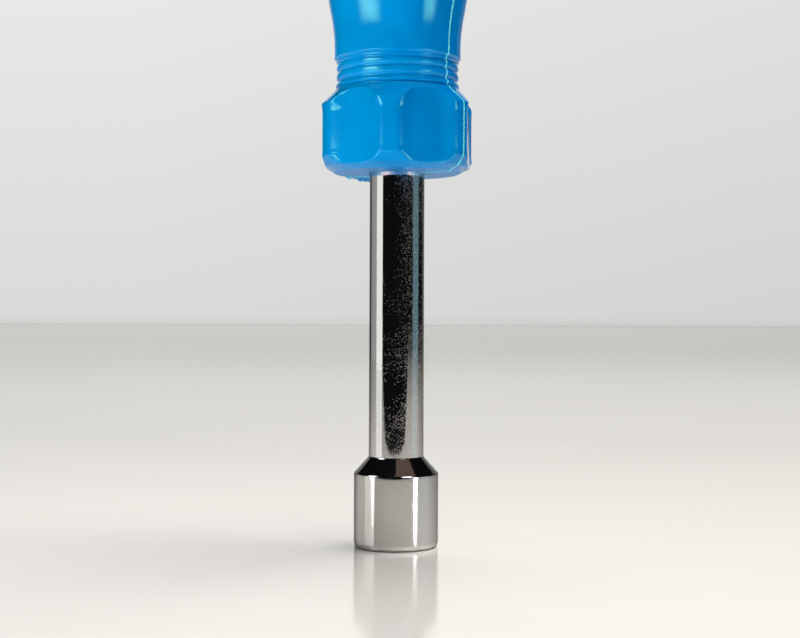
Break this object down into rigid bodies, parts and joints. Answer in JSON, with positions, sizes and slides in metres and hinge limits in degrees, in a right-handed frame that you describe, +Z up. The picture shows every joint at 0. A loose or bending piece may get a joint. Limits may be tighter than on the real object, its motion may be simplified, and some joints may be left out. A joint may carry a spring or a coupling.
{
  "type": "hollow nut driver",
  "caption": "Hand nut driver with a hex socket on a hollow chromed shaft, and a moulded plastic handle with a ridged bolster.",
  "frame": {"origin": "centre of the socket mouth, on the plane that the standing tool rests on", "axes": "+Z up the shaft to the handle's butt; -Y is the front, where one ridge of the bolster points; two of the hex recess's flats are square to Y"},
  "size_m": [0.0312, 0.0324, 0.1873],
  "materials": {
    "handle_plastic": "glossy moulded plastic",
    "disc_plastic": "satin moulded plastic",
    "chrome_plate": "bright chrome plate with a faint orange peel",
    "plain_steel": "plain turned steel"
  },
  "bodies": {
    "root": {"handle": "handle_plastic", "butt_disc": "disc_plastic", "hollow_shaft": "chrome_plate", "hex_socket": "chrome_plate", "torque_collar": "plain_steel", "bore_plug": "plain_steel"}
  },
  "joints": []
}
